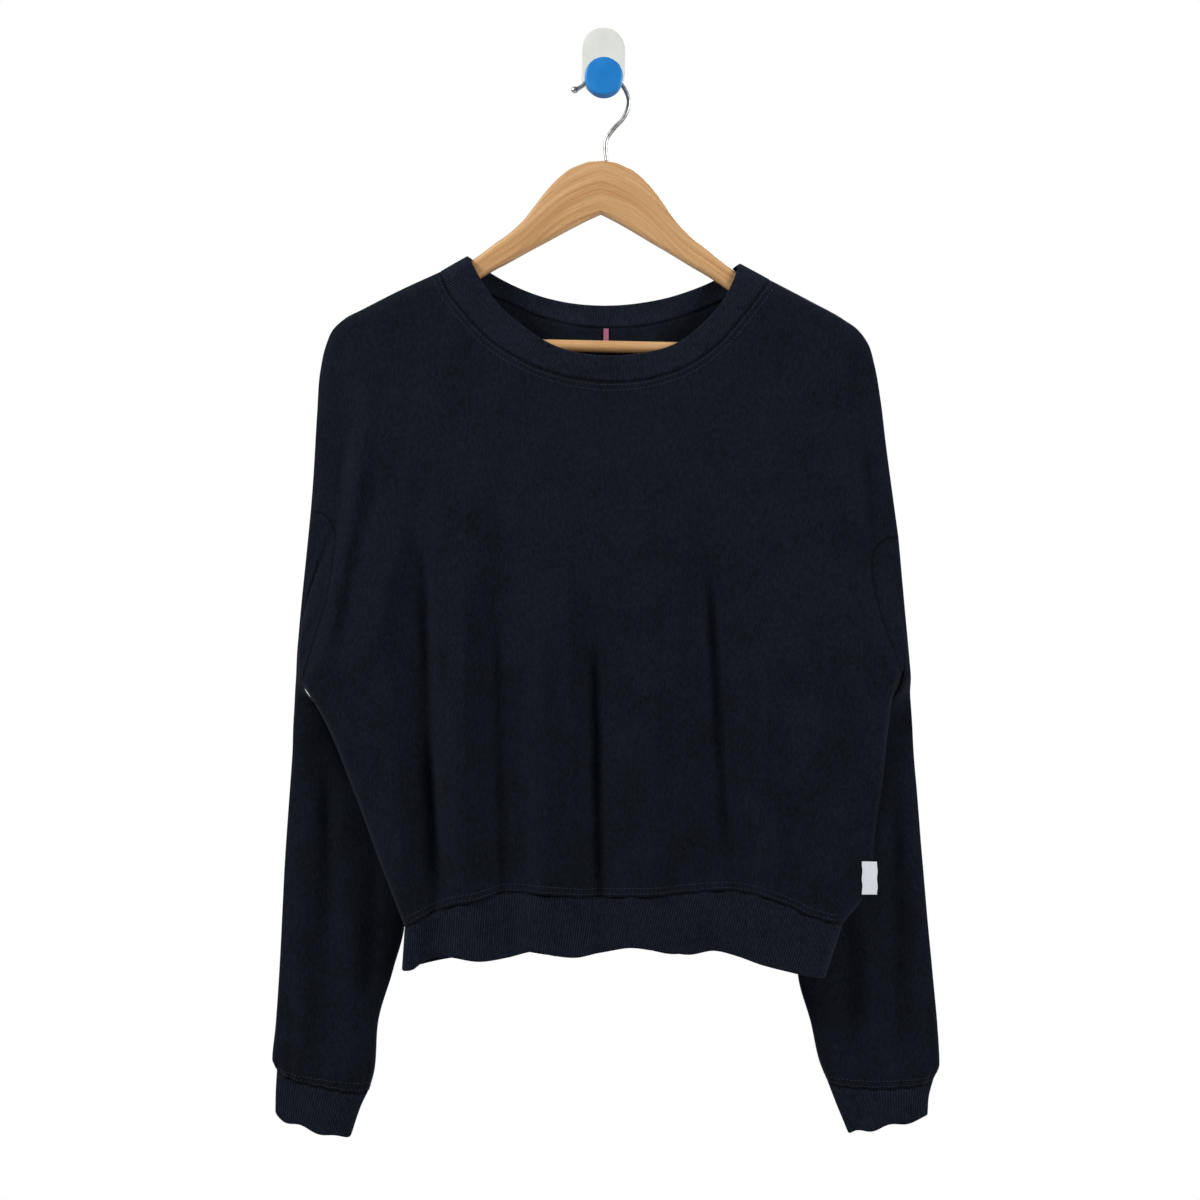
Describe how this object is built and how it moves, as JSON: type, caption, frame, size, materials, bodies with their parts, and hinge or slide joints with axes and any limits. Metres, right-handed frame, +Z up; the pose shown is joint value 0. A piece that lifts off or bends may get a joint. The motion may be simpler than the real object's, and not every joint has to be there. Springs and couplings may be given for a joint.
{
  "type": "crew-neck sweatshirt on a wooden hanger on a wall peg",
  "caption": "Dark navy crew-neck sweatshirt with dropped shoulders hanging on a flat wooden hanger from a wall peg.",
  "frame": {"origin": "middle of the peg plate's back face, where it lies on the wall", "axes": "+Z up, +X to the right seen from the front, +Y into the wall, so the garment hangs in front of the wall at negative Y"},
  "size_m": [0.5635, 0.0754, 0.9449],
  "materials": {
    "jersey": "brushed matt",
    "rib": "matt 1x1 rib",
    "label_tape": "satin woven tape",
    "pink_tape": "woven tape",
    "beech": "clear satin varnish",
    "steel_wire": "dull plated",
    "grey_plastic": "satin",
    "blue_plastic": "satin"
  },
  "bodies": {
    "root": {"front": "jersey", "back": "jersey", "sleeve_left": "jersey", "sleeve_right": "jersey", "cuff_left": "rib", "cuff_right": "rib", "neckband": "rib", "hem_band": "rib", "side_label": "label_tape", "neck_tab": "pink_tape", "hanger_body": "beech", "trouser_bar": "beech", "hook_wire": "steel_wire", "peg_plate": "grey_plastic", "peg_stem": "grey_plastic", "peg_head": "blue_plastic"}
  },
  "joints": []
}
